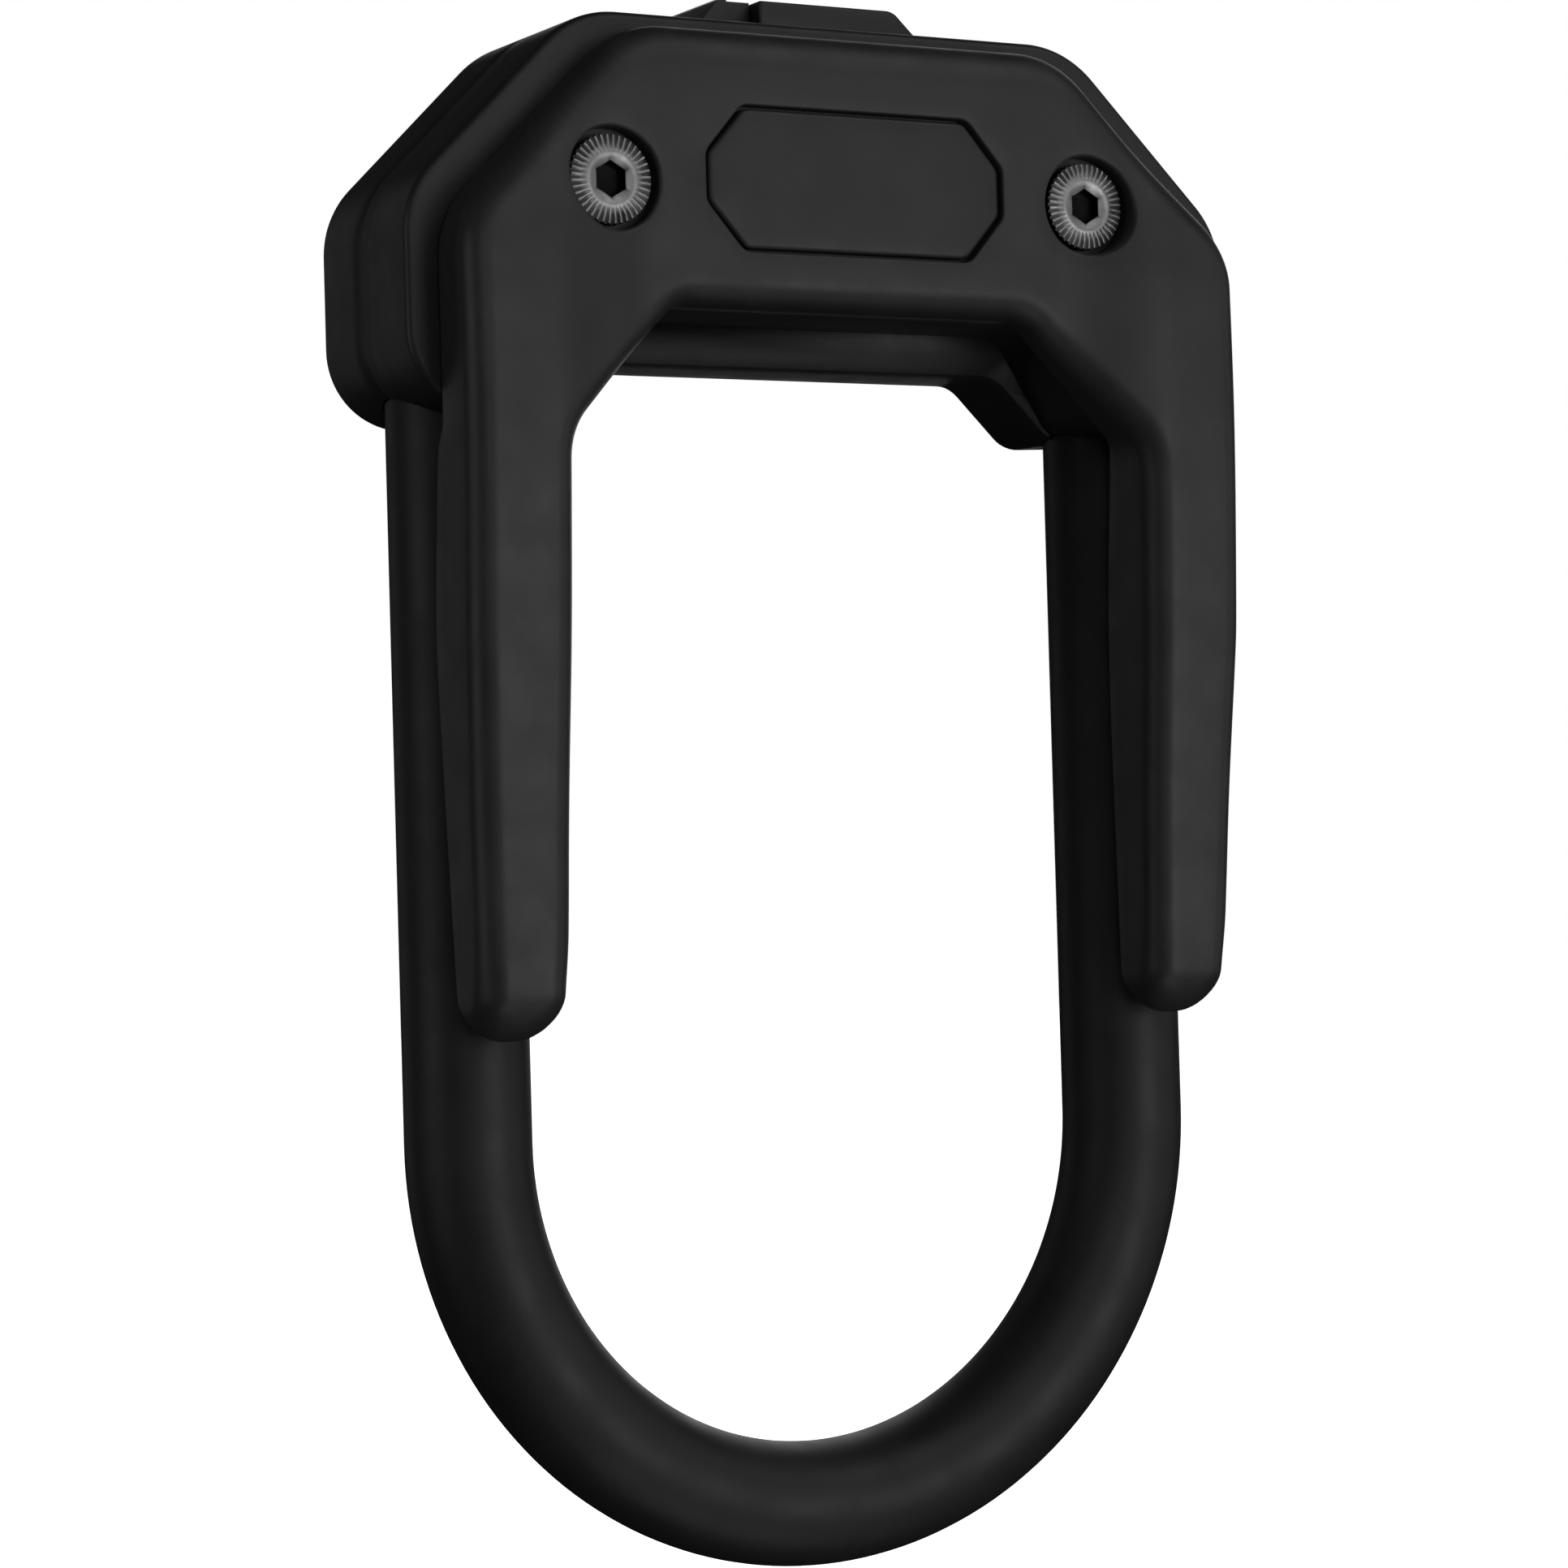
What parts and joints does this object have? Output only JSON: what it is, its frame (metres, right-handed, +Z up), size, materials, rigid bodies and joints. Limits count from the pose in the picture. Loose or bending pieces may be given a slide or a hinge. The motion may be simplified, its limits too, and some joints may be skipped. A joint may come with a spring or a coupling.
{
  "type": "bicycle u lock",
  "caption": "D-shaped bicycle lock with a sleeved shackle, a moulded crossbar with a keyed pin-cam mechanism, and a pronged belt clip screwed to its back.",
  "frame": {"origin": "middle of the top edge of the shackle opening: between the legs, in the shackle's plane, at the underside of the crossbar", "axes": "+Z up from the shackle to the crossbar, +X across the legs, -Y towards the belt clip side"},
  "size_m": [0.126, 0.0381, 0.2112],
  "materials": {
    "shell": "fine moulded texture, black",
    "clip": "fine moulded texture, black, satin sheen",
    "badge": "smooth moulded black",
    "screw_steel": "plain steel with a serrated rim",
    "zinc_steel": "zinc plated",
    "core_steel": "ground hardened steel",
    "bolt_steel": "ground hardened steel",
    "shackle_steel": "hardened steel bar",
    "cylinder_brass": "machined",
    "disc_brass": "stamped",
    "cover_plastic": "moulded black",
    "seal_rubber": "black",
    "sleeve": "soft vinyl sleeve, dull black"
  },
  "bodies": {
    "crossbar": {"front_shell": "shell", "rear_shell": "shell", "clip_frame": "clip", "badge_insert": "badge", "clip_screw_left": "screw_steel", "clip_screw_right": "screw_steel", "shell_screw_left": "zinc_steel", "shell_screw_right": "zinc_steel", "lock_core": "core_steel", "channel_plug_left": "core_steel", "channel_plug_right": "core_steel", "leg_seal_left": "seal_rubber", "leg_seal_right": "seal_rubber", "cylinder_housing": "cylinder_brass", "housing_set_screw": "zinc_steel", "key_bezel": "shell"},
    "barrel": {"cylinder_barrel": "cylinder_brass", "drill_guard": "core_steel", "disc_1": "disc_brass", "disc_2": "disc_brass", "disc_3": "disc_brass", "disc_4": "disc_brass", "disc_5": "disc_brass", "disc_6": "disc_brass", "side_bar": "core_steel", "drive_cam": "core_steel"},
    "left_bolt": {"bolt_left": "bolt_steel"},
    "right_bolt": {"bolt_right": "bolt_steel"},
    "cover": {"dust_cover": "cover_plastic"},
    "shackle": {"shackle_bar": "shackle_steel", "shackle_sleeve": "sleeve"}
  },
  "joints": [
    {"name": "key_turn", "type": "hinge", "parent": "crossbar", "child": "barrel", "pos_m": [0, 0, 0.03], "axis": [0, 0, 1], "range_deg": [0, 90]},
    {"name": "left_bolt_slide", "type": "slide", "parent": "crossbar", "child": "left_bolt", "axis": [-1, 0, 0], "range_m": [0, 0.004]},
    {"name": "right_bolt_slide", "type": "slide", "parent": "crossbar", "child": "right_bolt", "axis": [1, 0, 0], "range_m": [0, 0.004]},
    {"name": "cover_slide", "type": "slide", "parent": "crossbar", "child": "cover", "axis": [1, 0, 0], "range_m": [0, 0.013]},
    {"name": "shackle_slide", "type": "slide", "parent": "crossbar", "child": "shackle", "axis": [0, 0, -1], "range_m": [0, 0.06]}
  ],
  "couplings": [
    {"joint": "left_bolt_slide", "follows": "key_turn", "m_per_rad": 0.002546},
    {"joint": "right_bolt_slide", "follows": "key_turn", "m_per_rad": 0.002546}
  ]
}
